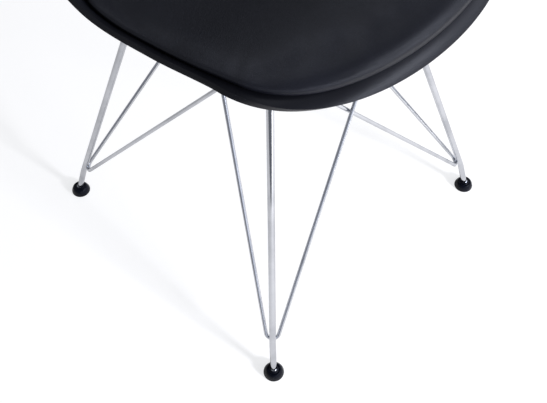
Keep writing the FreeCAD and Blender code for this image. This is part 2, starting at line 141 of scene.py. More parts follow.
class NodeDesk:
    """A node tree with one method that makes any node, and short names for those used most."""

    def __init__(self, tree: NodeTree) -> None:
        """Clear the tree and work on it."""
        self.tree = tree
        tree.nodes.clear()

    def node(
        self, kind: str, settings: dict[str, object] | None = None, sockets: dict | None = None
    ) -> Node:
        """Add a node.

        Args:
            kind: The node's type.
            settings: Its properties, set first. "stops" holds a ramp's places and colours.
            sockets: Values or links of its inputs, by name, identifier or number.

        Returns:
            The new node.
        """
        made = self.tree.nodes.new(kind)
        for name, value in (settings or {}).items():
            if name == "stops":
                self._set_stops(made.color_ramp, value)
            else:
                setattr(made, name, value)
        for name, value in (sockets or {}).items():
            self._feed(self._input(made, name), value)
        return made

    @staticmethod
    def _set_stops(ramp: ColorRamp, stops: Iterable[tuple[float, Colour]]) -> None:
        """Give a ramp its stops."""
        wanted = list(stops)
        while len(ramp.elements) < len(wanted):
            ramp.elements.new(1.0)
        for element, (place, colour) in zip(ramp.elements, wanted):
            element.position = place
            element.color = (*colour, 1.0)

    @staticmethod
    def _input(made: Node, name: str | int) -> NodeSocket:
        """Find an input by its number, identifier or name."""
        by_identifier = {socket.identifier: socket for socket in made.inputs}
        return by_identifier.get(name) or made.inputs[name]

    def _feed(self, socket: NodeSocket, value: object) -> None:
        """Link or set an input."""
        if isinstance(value, Signal):
            value = value.socket
        if isinstance(value, NodeSocket):
            self.tree.links.new(value, socket)
        elif isinstance(value, tuple) and len(value) == 3 and socket.type == "RGBA":
            socket.default_value = (*value, 1.0)
        else:
            socket.default_value = value

    def math(self, operation: str, *values: Signal | float) -> Signal:
        """Math node on signals and numbers."""
        made = self.node("ShaderNodeMath", {"operation": operation}, dict(enumerate(values)))
        return Signal(self, made.outputs[0])

    def place(self) -> NodeSocket:
        """Object coordinates, which are the row frame's metres."""
        return self.node("ShaderNodeTexCoord").outputs["Object"]

    def stretched(self, place: NodeSocket, scale: Point) -> NodeSocket:
        """Coordinates scaled by a factor along each axis."""
        return self.node("ShaderNodeMapping", None, {"Vector": place, "Scale": scale}).outputs[0]

    def noise(
        self, place: NodeSocket, size: float, detail: float = 2.0, rough: float = 0.5
    ) -> Signal:
        """Noise from about 0.3 to 0.7, with features of a size in metres."""
        sockets = {"Vector": place, "Scale": 1 / size, "Detail": detail, "Roughness": rough}
        return Signal(self, self.node("ShaderNodeTexNoise", None, sockets).outputs[0])

    def cells(self, place: NodeSocket, size: float, feature: str = "F1") -> Signal:
        """Distances in a pattern of cells of a size in metres."""
        sockets = {"Vector": place, "Scale": 1 / size}
        made = self.node("ShaderNodeTexVoronoi", {"feature": feature}, sockets)
        return Signal(self, made.outputs[0])

    def facing(self, place: NodeSocket, axis: Point) -> Signal:
        """How far a place or a direction reaches along an axis."""
        made = self.node("ShaderNodeVectorMath", {"operation": "DOT_PRODUCT"}, {0: place, 1: axis})
        return Signal(self, made.outputs[1])

    def tint(self, share: Signal, low: Colour, high: Colour) -> NodeSocket:
        """Colour from low to high by a share from 0 to 1."""
        sockets = {"Factor_Float": share, "A_Color": low, "B_Color": high}
        made = self.node("ShaderNodeMix", {"data_type": "RGBA"}, sockets)
        return next(socket for socket in made.outputs if socket.identifier == "Result_Color")

    def bump(
        self, height: Signal, depth: float, strength: float = 1.0, normal: NodeSocket | None = None
    ) -> NodeSocket:
        """Normal from a height from 0 to 1 that stands for a depth in metres."""
        sockets = {"Height": height, "Distance": depth, "Strength": strength}
        if normal is not None:
            sockets["Normal"] = normal
        return self.node("ShaderNodeBump", None, sockets).outputs[0]

    def surface(self, **sockets: object) -> None:
        """Principled shader on the output; an underscore in a name stands for a space."""
        named = {name.replace("_", " "): value for name, value in sockets.items()}
        shader = self.node("ShaderNodeBsdfPrincipled", None, named)
        self.node("ShaderNodeOutputMaterial", None, {"Surface": shader.outputs[0]})


def new_desk(name: str) -> tuple[Material, NodeDesk]:
    """New material and the desk of its nodes."""
    material = bpy.data.materials.new(name)
    material.use_nodes = True
    return material, NodeDesk(material.node_tree)


# ---- Finishes ----


class Finish(ABC):
    """Anything that makes a material out of nodes."""

    name: str

    @abstractmethod
    def paint(self, desk: NodeDesk, place: NodeSocket) -> None:
        """Add the nodes of the surface, which vary with the place on the piece."""

    def material(self) -> Material:
        """Make the material."""
        material, desk = new_desk(self.name)
        self.paint(desk, desk.place())
        return material


@dataclass(frozen=True)
class MouldedPlastic(Finish):
    """Polypropylene from a spark-textured mould: a fine even grain, rubbed smoother in places."""

    name: str = "moulded_plastic"
    dark: Colour = (0.0050, 0.0051, 0.0066)
    light: Colour = (0.0085, 0.0086, 0.0108)
    grain_size: float = 0.55 * MM
    grain_depth: float = 0.05 * MM
    roughness: float = 0.27
    specular: float = 0.34

    def paint(self, desk: NodeDesk, place: NodeSocket) -> None:
        """Add the nodes of the surface."""
        grain = desk.noise(place, self.grain_size, 3.0, 0.6)
        flow = desk.noise(place, 0.11, 3.0, 0.55)
        rubbed = desk.noise(place, 0.035, 4.0, 0.65).between(0.52, 0.68)
        desk.surface(
            Base_Color=desk.tint(flow.between(0.35, 0.65), self.dark, self.light),
            Roughness=self.roughness + 0.07 * flow - 0.05 * rubbed + 0.05 * grain,
            Specular_IOR_Level=self.specular,
            Normal=desk.bump(grain, self.grain_depth, 0.6),
        )


@dataclass(frozen=True)
class Leatherette(Finish):
    """Black coated fabric: small pebbled cells, fine pores, and a gloss that varies a little."""

    name: str = "leatherette"
    dark: Colour = (0.0042, 0.0045, 0.0068)
    light: Colour = (0.0085, 0.0090, 0.0130)
    pebble_size: float = 1.25 * MM
    pore_size: float = 0.35 * MM
    depth: float = 0.11 * MM
    roughness: float = 0.36
    specular: float = 0.44

    def paint(self, desk: NodeDesk, place: NodeSocket) -> None:
        """Add the nodes of the surface."""
        warp = desk.noise(place, 2.6 * MM, 2.0)
        pebbles = desk.cells(place, self.pebble_size, "DISTANCE_TO_EDGE").between(0.0, 0.32)
        pores = desk.noise(place, self.pore_size, 3.0, 0.6)
        creases = desk.noise(desk.stretched(place, (1.0, 0.35, 1.0)), 5 * MM, 4.0, 0.62)
        height = 0.62 * pebbles + 0.2 * pores + 0.18 * warp
        wear = desk.noise(place, 0.06, 4.0, 0.6).between(0.4, 0.7)
        shade = (0.55 * pebbles + 0.45 * wear).between(0.15, 0.95)
        fold = desk.bump(creases, 0.25 * MM, 0.35)
        desk.surface(
            Base_Color=desk.tint(shade, self.dark, self.light),
            Roughness=self.roughness + 0.08 * (1 - pebbles) - 0.05 * wear + 0.06 * pores,
            Specular_IOR_Level=self.specular,
            Normal=desk.bump(height, self.depth, 0.55, fold),
        )


@dataclass(frozen=True)
class Chrome(Finish):
    """Bright chrome on drawn rod: faint lengthwise lines, haze and a few tiny pits."""

    name: str = "bright_chrome"
    dark: Colour = (0.56, 0.575, 0.60)
    light: Colour = (0.71, 0.725, 0.75)
    roughness: float = 0.075

    def paint(self, desk: NodeDesk, place: NodeSocket) -> None:
        """Add the nodes of the surface."""
        haze = desk.noise(place, 0.045, 4.0, 0.6)
        lines = desk.noise(desk.stretched(place, (1.0, 1.0, 0.04)), 0.5 * MM, 2.0, 0.5)
        pits = desk.cells(place, 6 * MM).between(0.03, 0.075)
        desk.surface(
            Base_Color=desk.tint(haze.between(0.3, 0.6) * pits, self.dark, self.light),
            Metallic=1.0,
            Roughness=self.roughness + 0.07 * haze.between(0.45, 0.75) + 0.12 * (1 - pits),
            Normal=desk.bump(lines, 0.01 * MM, 0.25),
        )


@dataclass(frozen=True)
class Steel(Finish):
    """Plain or plated steel: cloudy crystals and small scratches."""

    name: str = "zinc_steel"
    dark: Colour = (0.36, 0.37, 0.38)
    light: Colour = (0.60, 0.61, 0.62)
    roughness: float = 0.32

    def paint(self, desk: NodeDesk, place: NodeSocket) -> None:
        """Add the nodes of the surface."""
        clouds = desk.noise(place, 9 * MM, 5.0, 0.6)
        crystals = desk.cells(place, 2.2 * MM)
        scratches = desk.noise(desk.stretched(place, (1.0, 0.05, 1.0)), 0.35 * MM, 2.0)
        scratches = scratches.between(0.5, 0.72)
        desk.surface(
            Base_Color=desk.tint(0.6 * clouds + 0.3 * crystals, self.dark, self.light),
            Metallic=1.0,
            Roughness=self.roughness + 0.2 * clouds + 0.1 * scratches,
            Normal=desk.bump(0.6 * scratches + 0.4 * crystals, 0.02 * MM, 0.5),
        )


@dataclass(frozen=True)
class Rubber(Finish):
    """Matt moulded rubber, nylon or foam: fine tooth, dust in the tone and no clear gloss."""

    name: str
    dark: Colour
    light: Colour
    tooth_size: float = 0.4 * MM
    tooth_depth: float = 0.05 * MM
    roughness: float = 0.55
    specular: float = 0.5

    def paint(self, desk: NodeDesk, place: NodeSocket) -> None:
        """Add the nodes of the surface."""
        tooth = desk.noise(place, self.tooth_size, 3.0, 0.6)
        dust = desk.noise(place, 12 * MM, 4.0, 0.6).between(0.4, 0.72)
        desk.surface(
            Base_Color=desk.tint(0.7 * dust + 0.3 * tooth, self.dark, self.light),
            Roughness=self.roughness + 0.12 * dust - 0.06 * tooth,
            Specular_IOR_Level=self.specular,
            Normal=desk.bump(tooth, self.tooth_depth, 0.5),
        )


@dataclass(frozen=True)
class Plywood(Finish):
    """Bent board of thin layers, seen only where a cover is taken off."""

    name: str = "pad_board"
    dark: Colour = (0.20, 0.12, 0.06)
    light: Colour = (0.46, 0.32, 0.19)

    def paint(self, desk: NodeDesk, place: NodeSocket) -> None:
        """Add the nodes of the surface."""
        grain = desk.noise(desk.stretched(place, (1.0, 0.08, 1.0)), 2.5 * MM, 5.0, 0.65)
        layers = desk.noise(desk.stretched(place, (0.02, 0.02, 1.0)), 1.3 * MM, 1.0)
        shade = (0.7 * grain + 0.3 * layers).between(0.3, 0.7)
        desk.surface(
            Base_Color=desk.tint(shade, self.dark, self.light),
            Roughness=0.6 + 0.15 * grain,
            Normal=desk.bump(grain, 0.08 * MM, 0.5),
        )


# ---- Modelling by hand ----


def settle_selection() -> None:
    """Leave edit mode and deselect everything."""
    if bpy.context.object is not None and bpy.context.object.mode != "OBJECT":
        bpy.ops.object.mode_set(mode="OBJECT")
    bpy.ops.object.select_all(action="DESELECT")


def take(piece: Object) -> None:
    """Make a piece the only selected and active object."""
    settle_selection()
    piece.select_set(True)
    bpy.context.view_layer.objects.active = piece


@contextmanager
def editing(piece: Object, kind: str = "VERT") -> Iterator[None]:
    """Edit mode on one piece, with all its elements of a kind selected at first."""
    take(piece)
    bpy.ops.object.mode_set(mode="EDIT")
    bpy.ops.mesh.select_mode(type=kind)
    bpy.ops.mesh.select_all(action="SELECT")
    yield
    bpy.ops.object.mode_set(mode="OBJECT")


def pick_edges(piece: Object, test: Callable[[Vector], bool]) -> None:
    """Select only the edges of a piece, in the edit mode of edges, whose direction passes a test.

    Args:
        piece: The object in edit mode.
        test: Takes the direction of an edge.
    """
    bpy.ops.mesh.select_all(action="DESELECT")
    mesh = bmesh.from_edit_mesh(piece.data)
    for edge in mesh.edges:
        if test((edge.verts[1].co - edge.verts[0].co).normalized()):
            edge.select_set(True)
    mesh.select_flush_mode()
    bmesh.update_edit_mesh(piece.data)


def apply_modifiers(piece: Object) -> None:
    """Apply all the modifiers of a piece."""
    take(piece)
    for modifier in list(piece.modifiers):
        bpy.ops.object.modifier_apply(modifier=modifier.name)


def add_modifier(piece: Object, kind: str, **settings: object) -> Modifier:
    """Add a modifier and set its properties."""
    modifier = piece.modifiers.new(kind.lower(), kind)
    for name, value in settings.items():
        setattr(modifier, name, value)
    return modifier


def join(pieces: list[Object]) -> Object:
    """Join pieces into the first one and return it."""
    take(pieces[0])
    for piece in pieces[1:]:
        piece.select_set(True)
    bpy.ops.object.join()
    return pieces[0]


def close_up(piece: Object) -> None:
    """Merge doubles and turn all the faces outwards."""
    with editing(piece):
        bpy.ops.mesh.remove_doubles(threshold=1e-6)
        bpy.ops.mesh.normals_make_consistent(inside=False)


def turned(profile: Iterable[Pair], centre: Point, sides: int) -> Object:
    """Solid of revolution: a circle that is extruded and resized from one ring to the next.

    Args:
        profile: Radius and height of each ring in millimetres.
        centre: Middle of the height 0, in metres.
        sides: How many sides the rings have.

    Returns:
        The new object, with its origin at the centre.
    """
    (radius, height), *rings = [(radius * MM, height * MM) for radius, height in profile]
    settle_selection()
    bpy.ops.mesh.primitive_circle_add(vertices=sides, radius=radius, location=centre)
    piece = bpy.context.object
    with editing(piece, "EDGE"):
        bpy.ops.transform.translate(value=(0, 0, height))
        for next_radius, next_height in rings:
            bpy.ops.mesh.extrude_edges_move()
            bpy.ops.transform.translate(value=(0, 0, next_height - height))
            scale = next_radius / radius
            middle = (centre[0], centre[1], centre[2] + next_height)
            bpy.ops.transform.resize(value=(scale, scale, 1), center_override=middle)
            radius, height = next_radius, next_height
    return piece


def close_rings(piece: Object, sides: int) -> None:
    """Close the open ends of a turned piece with one face each."""
    with editing(piece, "EDGE"):
        bpy.ops.mesh.select_all(action="DESELECT")
        bpy.ops.mesh.select_non_manifold(extend=False, use_wire=False, use_multi_face=False)
        bpy.ops.mesh.fill_holes(sides=sides + 1)
        bpy.ops.mesh.select_all(action="SELECT")
        bpy.ops.mesh.normals_make_consistent(inside=False)


def dress(
    piece: Object,
    name: str,
    material: Material,
    body: str,
    nodes: tuple[str, ...] = (),
    smooth_angle: float = 40.0,
) -> Object:
    """Finish a piece: its name, place, shading, material, body and the nodes it stands for.

    Args:
        piece: The modelled object.
        name: Its final name.
        material: Its material.
        body: The CAD body that it rides on.
        nodes: CAD nodes that it stands for.
        smooth_angle: Edges sharper than this many degrees stay sharp.

    Returns:
        The piece.
    """
    piece.name = name
    piece.data.name = name
    take(piece)
    bpy.ops.object.transform_apply(location=True, rotation=True, scale=True)
    bpy.ops.object.shade_smooth_by_angle(angle=math.radians(smooth_angle))
    piece.data.materials.clear()
    piece.data.materials.append(material)
    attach(piece, body)
    if nodes:
        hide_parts(*nodes)
    log.info("%s: %d faces", name, len(piece.data.polygons))
    return piece


# ---- The shell's form ----


def blend(knots: Pairs, place: float) -> float:
    """Smooth value between knots, with no overshoot."""
    if place <= knots[0][0]:
        return knots[0][1]
    if place >= knots[-1][0]:
        return knots[-1][1]
    rises = [(b[1] - a[1]) / (b[0] - a[0]) for a, b in zip(knots, knots[1:])]
    slopes = [rises[0]]
    for before, after in zip(rises, rises[1:]):
        slopes.append(0.0 if before * after <= 0 else 2 * before * after / (before + after))
    slopes.append(rises[-1])
    index = max(i for i in range(len(rises)) if knots[i][0] <= place)
    span = knots[index + 1][0] - knots[index][0]
    t = (place - knots[index][0]) / span
    return (
        (2 * t**3 - 3 * t**2 + 1) * knots[index][1]
        + (t**3 - 2 * t**2 + t) * span * slopes[index]
        + (3 * t**2 - 2 * t**3) * knots[index + 1][1]
        + (t**3 - t**2) * span * slopes[index + 1]
    )


@dataclass(frozen=True)
class ShellForm:
    """The inner face of the moulded shell, in millimetres, by the same rule as the CAD source.

    The centre line runs from the front edge over the seat and up the back, in runs of a length
    and the degrees that they turn upwards.
    """

    front_y: float = -210.9
    front_z: float = 456.5
    front_angle: float = -5.0
    centre_line: Pairs = (
        (30, 0), (120, -2), (115, 8), (75, 20), (95, 38), (70, 15), (105, 2), (95, -8), (60, -8),
    )
    half_width: Pairs = (
        (0, 173.7), (80, 179.2), (160, 193.5), (240, 204), (320, 199),
        (400, 194), (490, 198), (580, 202), (680, 205), (765, 202),
    )
    edge_rise: Pairs = (
        (0, 6.5), (80, 15), (160, 22), (240, 32), (320, 48),
        (400, 56), (490, 48), (600, 36), (765, 18),
    )
    rise_power: Pairs = ((0, 5), (260, 5), (400, 3.4), (500, 2.7), (765, 2.4))
    front_bow: float = 91.0
    front_bow_reach: float = 220.0
    top_bow: float = 120.0
    top_bow_reach: float = 300.0
    lip_drop: float = 16.5
    lip_reach: float = 32.0
    lip_power: float = 2.8
    lip_fade: float = 2.5

    @property
    def length(self) -> float:
        """Length of the centre line."""
        return sum(run for run, _ in self.centre_line)

    def line(self, distance: float) -> tuple[float, float, float]:
        """Y, Z and heading of the centre line at a distance from the front edge."""
        y, z, heading, left = self.front_y, self.front_z, math.radians(self.front_angle), distance
        for run, turn in self.centre_line:
            step = min(left, run)
            curvature = math.radians(turn) / run
            if turn == 0:
                y += step * math.cos(heading)
                z += step * math.sin(heading)
            else:
                y += (math.sin(heading + curvature * step) - math.sin(heading)) / curvature
                z -= (math.cos(heading + curvature * step) - math.cos(heading)) / curvature
            heading += curvature * step
            left -= step
        return y, z, heading

    def face(self, share: float, travel: float) -> Vector:
        """Point by a share of the half width and a travel along the centre line."""
        y, z, heading = self.line(travel)
        rise = blend(self.edge_rise, travel) * abs(share) ** blend(self.rise_power, travel)
        gap = travel - self.front_bow * (1 - math.sqrt(max(0.0, 1 - share**2)))
        nearness = max(0.0, min(1.0, 1 - gap / self.lip_reach))
        fade = 1 - min(1.0, abs(share)) ** self.lip_fade
        drop = self.lip_drop * nearness**self.lip_power * fade
        width = blend(self.half_width, travel)
        return Vector(
            (width * share, y - rise * math.sin(heading), z + rise * math.cos(heading) - drop)
        )

    def point(self, side: float, distance: float) -> Vector:
        """Point in the row frame, in metres.

        Args:
            side: From -1 at the right edge to 1 at the left edge.
            distance: From 0 at the front edge to the length at the top edge, in millimetres.

        Returns:
            The point on the inner face.
        """
        front = max(0.0, 1 - distance / self.front_bow_reach) ** 2
        top = max(0.0, 1 - (self.length - distance) / self.top_bow_reach) ** 2
        share = (1 - front - top) * side + (front + top) * math.sin(math.pi / 2 * side)
        bow = 1 - math.cos(math.pi / 2 * side)
        travel = distance + self.front_bow * bow * front - self.top_bow * bow * top
        return self.face(share, travel) * MM + Vector((0, CENTRE_SHIFT, 0))


@dataclass
class SeatShell:
    """The one-piece moulded shell: a sheet shaped over its form, walled, rimmed and bossed."""

    finish: Material
    form: ShellForm = field(default_factory=ShellForm)
    wall: float = 5.0 * MM
    rim_round: float = 1.9 * MM
    rim_angle: float = 55.0
    columns: int = 96
    rows: int = 150
    crowding: float = 0.25
    ray_height: float = 0.7
    boss_places: Pairs = ((-43, -98), (43, -98), (-43, 104), (43, 104))
    boss_bottom: float = 419.0
    boss_sides: int = 40
    boss_gap: float = 2.0

    def sheet(self) -> Object:
        """Inner face as a grid whose rows are closer together at the front lip."""
        settle_selection()
        bpy.ops.mesh.primitive_grid_add(
            x_subdivisions=self.columns, y_subdivisions=self.rows, size=2
        )
        sheet = bpy.context.object
        for vertex in sheet.data.vertices:
            along = (vertex.co.y + 1) / 2
            along += self.crowding * along * (along - 1)
            vertex.co = self.form.point(max(-1.0, min(1.0, vertex.co.x)), self.form.length * along)
        sheet.data.update()
        return sheet

    def _boss(self, x: float, y: float, face_z: float) -> Object:
        """Boss below the seat with a bore for its insert and a flare where it meets the wall.

        Args:
            x: Place across the chair, in millimetres.
            y: Place along the chair from the middle of the feet, in millimetres.
            face_z: Height of the shell's inner face there, in metres.

        Returns:
            The boss, which ends inside the wall.
        """
        top = face_z / MM - self.boss_bottom - self.boss_gap
        profile = (
            (4.0, 14.0), (4.0, 0.3), (4.3, 0.0), (10.3, 0.0), (10.9, 0.5),
            (11.1, top - 6.5), (11.6, top - 4.6), (12.8, top - 3.4), (14.6, top - 2.9), (14.8, top),
        )
        centre = (x * MM, y * MM + CENTRE_SHIFT, self.boss_bottom * MM)
        boss = turned(profile, centre, self.boss_sides)
        close_rings(boss, self.boss_sides)
        return boss

    def build(self) -> BVHTree:
        """Make the shell.

        Returns:
            A tree of its inner face to set other pieces on.
        """
        shell = self.sheet()
        graph = bpy.context.evaluated_depsgraph_get()
        seat = BVHTree.FromObject(shell, graph)
        add_modifier(
            shell, "SOLIDIFY", thickness=self.wall, offset=-1.0, use_even_offset=True,
            use_quality_normals=True,
        )
        add_modifier(
            shell, "BEVEL", width=self.rim_round, segments=4, limit_method="ANGLE",
            angle_limit=math.radians(self.rim_angle),
        )
        apply_modifiers(shell)
        bosses = []
        for x, y in self.boss_places:
            start = Vector((x * MM, y * MM + CENTRE_SHIFT, self.ray_height))
            bosses.append(self._boss(x, y, seat.ray_cast(start, DOWN)[0].z))
        shell = join([shell, *bosses])
        dress(shell, "seat_shell_moulding", self.finish, CHAIR, ("seat_shell",), 45.0)
        return seat


@dataclass
class SeatPad:
    """The upholstered pad: a crowned foam form under a taut cover that tucks under at its edge."""

    finish: Material
    seat: BVHTree
    half_width: Pairs = ((-118, 171.2), (-87, 179.2), (-42, 187.6), (0, 194.8), (20, 196))
    front_centre: float = -110.7
    front_depth: float = 90.0
    rear_centre: float = 20.0
    rear_depth: float = 116.0
    middle_y: float = -30.0
    lowest: float = 0.8
    waist: float = 3.0
    height: float = 19.0
    crown_reach: float = 85.0
    roll_reach: float = 8.0
    roll_share: float = 0.36
    roll_power: float = 2.6
    roll_fade: float = 1.5
    under_insets: tuple[float, ...] = (60, 30, 12, 3.2)
    tuck: Pairs = ((1.2, 1.3), (0.3, 2.1), (0.0, 3.0))
    crown_insets: tuple[float, ...] = (0.25, 0.8, 1.8, 3.0, 5.0, 8, 12, 18, 26, 36, 50, 70, 95)
    sides: int = 180
    farthest: float = 260.0
    halvings: int = 24
    ray_height: float = 0.62
    held_below: float = 5.0
    freed_above: float = 11.0
    cloth: tuple[tuple[str, object], ...] = (
        ("vertex_group_mass", "pins"), ("use_pressure", True), ("uniform_pressure_force", 4.0),
        ("quality", 5), ("mass", 0.3), ("tension_stiffness", 20.0),
        ("compression_stiffness", 20.0), ("bending_stiffness", 2.0),
    )
    frames: int = 20
    cap: float = 1.6 * MM

    def seat_z(self, x: float, y: float) -> float:
        """Height of the shell's inner face below a place in the row frame."""
        start = Vector((x, y, self.ray_height))
        hit = self.seat.ray_cast(start, DOWN)[0]
        if hit is None:
            hit = self.seat.find_nearest(start)[0]
        return hit.z

    def width_at(self, y: float, inset: float) -> float:
        """Half width of the outline at a place, less an inset all round, in millimetres."""
        width = blend(self.half_width, y) - inset
        depth, past = self.front_depth - inset, self.front_centre - y
        if y > self.rear_centre:
            depth, past = self.rear_depth - inset, y - self.rear_centre
        if past <= 0:
            return width
        return width * math.sqrt(max(0.0, 1 - (past / depth) ** 2))

    def edge_point(self, turn: float, inset: float) -> Pair:
        """Where a ray from the pad's middle meets the outline, in millimetres."""
        low, high = 0.0, self.farthest
        for _ in range(self.halvings):
            reach = (low + high) / 2
            x, y = reach * math.cos(turn), self.middle_y + reach * math.sin(turn)
            if abs(x) < self.width_at(y, inset):
                low = reach
            else:
                high = reach
        return low * math.cos(turn), self.middle_y + low * math.sin(turn)

    @staticmethod
    def rounded(inset: float, reach: float, power: float = 2.0) -> float:
        """Rise from 0 at the outline to 1 at a reach inside it; a power of 2 makes an ellipse."""
        return (1 - (1 - min(1.0, inset / reach)) ** power) ** (1 / power)

    def crown(self, inset: float, turn: float) -> float:
        """Height of the upper face over the seat: a pillow with a fuller roll along its front."""
        share = self.roll_share * max(0.0, -math.sin(turn)) ** self.roll_fade
        roll = self.rounded(inset, self.roll_reach, self.roll_power)
        rise = (1 - share) * self.rounded(inset, self.crown_reach) + share * roll
        return self.waist + (self.height - self.waist) * rise

    def ring_heights(self, turn: float) -> list[Pair]:
        """Inset and height of each ring in one direction, from under the pad round its edge."""
        under = [(inset, self.lowest) for inset in self.under_insets]
        over = [(inset, self.crown(inset, turn)) for inset in self.crown_insets]
        return [*under, *self.tuck, *over]

    def _fill(self, pad: Object, ring: int) -> None:
        """Fill the end that one ring leaves open with a grid of quads."""
        first = ring * self.sides
        with editing(pad, "EDGE"):
            bpy.ops.mesh.select_all(action="DESELECT")
        for edge in pad.data.edges:
            edge.select = all(first <= index < first + self.sides for index in edge.vertices)
        bpy.ops.object.mode_set(mode="EDIT")
        bpy.ops.mesh.fill_grid(span=self.sides // 4)
        bpy.ops.object.mode_set(mode="OBJECT")

    def form(self) -> Object:
        """Closed form: a circle extruded into rings, each laid on the pad's outline."""
        rings = len(self.ring_heights(0.0))
        settle_selection()
        bpy.ops.mesh.primitive_circle_add(vertices=self.sides, radius=0.1)
        pad = bpy.context.object
        with editing(pad, "EDGE"):
            for _ in range(rings - 1):
                bpy.ops.mesh.extrude_edges_move()
        for step in range(self.sides):
            turn = 2 * math.pi * step / self.sides
            for ring, (inset, height) in enumerate(self.ring_heights(turn)):
                x, y = self.edge_point(turn, inset)
                x, y = x * MM, y * MM + CENTRE_SHIFT
                vertex = pad.data.vertices[ring * self.sides + step]
                vertex.co = (x, y, self.seat_z(x, y) + height * MM)
        for ring, height in ((0, self.lowest), (rings - 1, self.height)):
            first = len(pad.data.vertices)
            self._fill(pad, ring)
            for vertex in pad.data.vertices[first:]:
                vertex.co.z = self.seat_z(vertex.co.x, vertex.co.y) + height * MM
        close_up(pad)
        return pad

    def swell(self, pad: Object) -> None:
        """Blow the cover up over its foam by a cloth simulation, with the underside pinned."""
        rest = np.array([vertex.co for vertex in pad.data.vertices])
        pins = pad.vertex_groups.new(name="pins")
        for index, (x, y, z) in enumerate(rest):
            freed = (z - self.seat_z(x, y)) / MM - self.held_below
            freed /= self.freed_above - self.held_below
            pins.add([index], 1 - max(0.0, min(1.0, freed)), "REPLACE")
        cloth = add_modifier(pad, "CLOTH").settings
        for name, value in self.cloth:
            setattr(cloth, name, value)
        cloth.effector_weights.gravity = 0.0
        for frame in range(1, self.frames + 1):
            bpy.context.scene.frame_set(frame)
        graph = bpy.context.evaluated_depsgraph_get()
        moved = np.array([vertex.co for vertex in pad.evaluated_get(graph).data.vertices])
        shift = moved - rest
        length = np.linalg.norm(shift, axis=1, keepdims=True)
        shift *= self.cap * np.tanh(length / self.cap) / np.maximum(length, 1e-9)
        pad.modifiers.clear()
        pad.vertex_groups.clear()
        pad.data.vertices.foreach_set("co", (rest + shift).astype(np.float32).ravel())
        pad.data.update()
        bpy.context.scene.frame_set(1)
        log.info("cover swelled by up to %.1f mm", float(length.max()) / MM)

    def build(self) -> None:
        pad = self.form()
        self.swell(pad)
        add_modifier(pad, "SUBSURF", levels=1, render_levels=1)
        apply_modifiers(pad)
        dress(pad, "seat_pad", self.finish, CHAIR, ("pad_cover", "pad_foam"), 180.0)


@dataclass
class Glide:
    """Domed nylon foot with a funnel over the ball at the end of a leg."""

    finish: Material
    sides: int = 72
    ball_height: float = 7.0
    socket_radius: float = 6.3
    socket_turns: tuple[int, ...] = (38, 54, 70, 86, 102, 118, 134, 150)
    profile: Pairs = (
        (2.0, 0.6), (8.6, 0.6), (9.0, 0.0), (11.9, 0.0), (12.7, 0.35), (13.0, 0.9), (12.9, 1.9),
        (12.45, 2.35), (12.4, 2.7), (12.35, 3.3), (12.1, 4.4), (11.7, 5.6), (11.1, 6.9),
        (10.4, 8.2), (9.5, 9.3), (8.7, 10.0), (8.1, 10.35), (7.5, 10.4), (6.95, 10.2), (6.4, 9.9),
    )

    def build(self, name: str, node: str, body: str, x: float, y: float) -> Object:
        """Make one foot at a place on the floor."""
        socket = []
        for turn in map(math.radians, self.socket_turns):
            radius = self.socket_radius * math.sin(turn)
            socket.append((radius, self.ball_height + self.socket_radius * math.cos(turn)))
        glide = turned((*self.profile, *socket), (x, y, 0.0), self.sides)
        close_rings(glide, self.sides)
        return dress(glide, name, self.finish, body, (node,), 32.0)


@dataclass
class Buffer:
    """Rubber buffer between strap and shell, waisted, with rounded rims and a bore."""

    finish: Material
    sides: int = 56
    bottom: float = 0.397
    profile: Pairs = (
        (3.25, 0.0), (11.2, 0.0), (11.8, 0.3), (12.0, 0.9), (12.0, 8.0), (11.6, 8.6), (10.9, 9.4),
        (10.5, 11.0), (10.9, 12.6), (11.6, 13.4), (12.0, 14.0), (12.0, 21.1), (11.8, 21.7),
        (11.2, 22.0), (3.25, 22.0), (3.25, 0.0),
    )

    def build(self, name: str, node: str, x: float, y: float) -> Object:
        """Make one buffer at a place on a strap."""
        buffer = turned(self.profile, (x, y, self.bottom), self.sides)
        close_up(buffer)
        return dress(buffer, name, self.finish, CHAIR, (node,), 35.0)


@dataclass
class MountStrap:
    """Flat steel strap with rounded corners, eased edges and two screw holes."""

    finish: Material
    width: float = 25.0 * MM
    thickness: float = 3.0 * MM
    front: float = -111.0 * MM
    back: float = 117.0 * MM
    bottom: float = 394.0 * MM
    corner: float = 7.5 * MM
    ease: float = 0.5 * MM
    hole_radius: float = 3.25 * MM
    hole_places: Pair = (-98.0 * MM, 104.0 * MM)

    def build(self, name: str, node: str, x: float) -> Object:
        """Make the strap at a place across the chair."""
        settle_selection()
        middle = (x, (self.front + self.back) / 2 + CENTRE_SHIFT, self.bottom + self.thickness / 2)
        size = (self.width, self.back - self.front, self.thickness)
        bpy.ops.mesh.primitive_cube_add(size=1, location=middle, scale=size)
        strap = bpy.context.object
        bpy.ops.object.transform_apply(location=False, rotation=False, scale=True)
        with editing(strap, "EDGE"):
            pick_edges(strap, lambda along: abs(along.z) > 0.9)
            bpy.ops.mesh.bevel(offset=self.corner, segments=8)
        for y in self.hole_places:
            bpy.ops.mesh.primitive_cylinder_add(
                vertices=48, radius=self.hole_radius, depth=4 * self.thickness,
                location=(x, y + CENTRE_SHIFT, middle[2]),
            )
            drill = bpy.context.object
            add_modifier(strap, "BOOLEAN", operation="DIFFERENCE", object=drill, solver="EXACT")
            apply_modifiers(strap)
            bpy.data.objects.remove(drill)
        add_modifier(
            strap, "BEVEL", width=self.ease, segments=3, limit_method="ANGLE",
            angle_limit=math.radians(60),
        )
        apply_modifiers(strap)
        return dress(strap, name, self.finish, CHAIR, (node,), 35.0)


